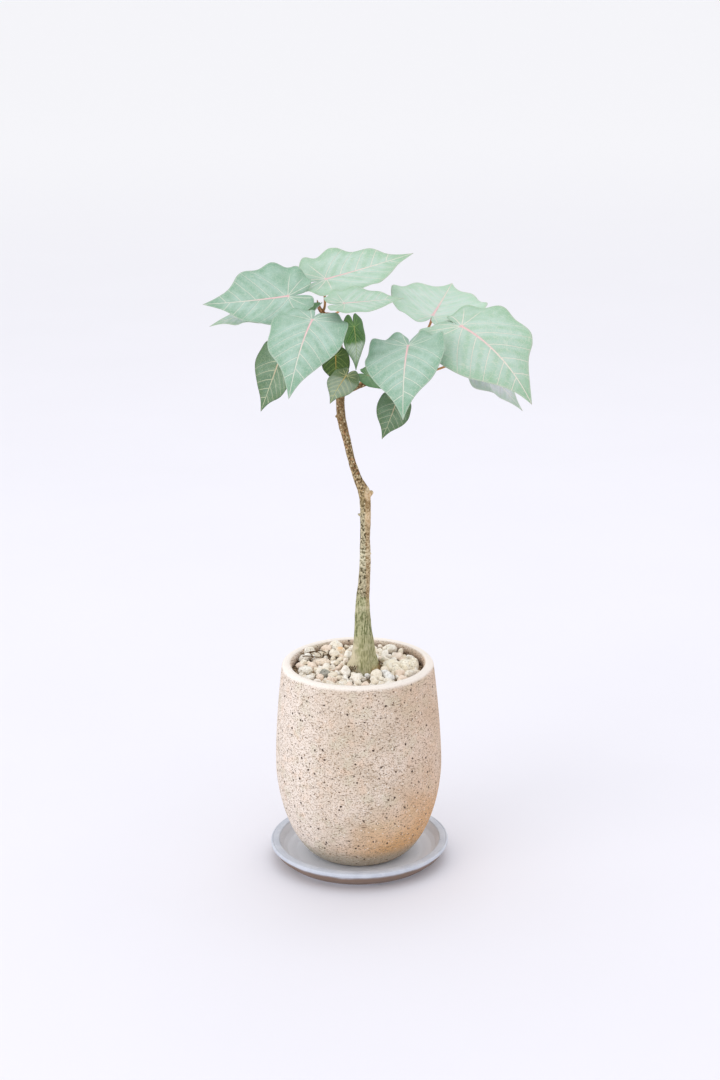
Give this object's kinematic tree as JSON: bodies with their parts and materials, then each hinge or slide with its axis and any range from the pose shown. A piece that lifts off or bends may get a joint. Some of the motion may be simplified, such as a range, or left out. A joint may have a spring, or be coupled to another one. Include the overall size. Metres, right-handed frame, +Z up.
{
  "type": "potted rock fig",
  "caption": "Young rock fig with heart-shaped, long-tipped leaves on a slim caudex stem, in a speckled egg-shaped pot topped with pebbles, on a round saucer.",
  "frame": {"origin": "middle of the saucer's flat underside, on the surface that it stands on", "axes": "+Z up the pot's axis, +X to the right and -Y towards the viewer of the front, where the two large hanging leaves are"},
  "size_m": [0.2784, 0.2122, 0.55],
  "materials": {
    "saucer_clay": "smooth matt clay, pale blue-grey",
    "speckled_stoneware": "matt sanded stoneware with dark speckles and small pits",
    "potting_mix": "crumbly dark bark mix",
    "cream_pebble": "rough dusty pumice",
    "grey_pebble": "dull worn stone",
    "bark": "matt bark, striped pale green below and tan with lenticels above",
    "glaucous_leaf": "soft waxy bloom with cream veins and a pink midrib",
    "shaded_leaf": "satin dark green with pale veins",
    "leaf_stalk": "satin orange-brown, finely grooved"
  },
  "bodies": {
    "root": {"saucer": "saucer_clay", "pot": "speckled_stoneware", "soil": "potting_mix", "gravel": "cream_pebble", "stone_pale": "cream_pebble", "stone_grey": "grey_pebble", "trunk": "bark", "blade_01": "glaucous_leaf", "stalk_01": "leaf_stalk", "blade_02": "glaucous_leaf", "stalk_02": "leaf_stalk", "blade_03": "glaucous_leaf", "stalk_03": "leaf_stalk", "blade_04": "glaucous_leaf", "stalk_04": "leaf_stalk", "blade_05": "glaucous_leaf", "stalk_05": "leaf_stalk", "blade_06": "glaucous_leaf", "stalk_06": "leaf_stalk", "blade_07": "glaucous_leaf", "stalk_07": "leaf_stalk", "blade_08": "glaucous_leaf", "stalk_08": "leaf_stalk", "blade_09": "glaucous_leaf", "stalk_09": "leaf_stalk", "blade_10": "shaded_leaf", "stalk_10": "leaf_stalk", "blade_11": "shaded_leaf", "stalk_11": "leaf_stalk", "blade_12": "glaucous_leaf", "stalk_12": "leaf_stalk", "blade_13": "glaucous_leaf", "stalk_13": "leaf_stalk", "blade_14": "shaded_leaf", "stalk_14": "leaf_stalk", "blade_15": "glaucous_leaf", "stalk_15": "leaf_stalk", "blade_16": "shaded_leaf", "stalk_16": "leaf_stalk"}
  },
  "joints": []
}
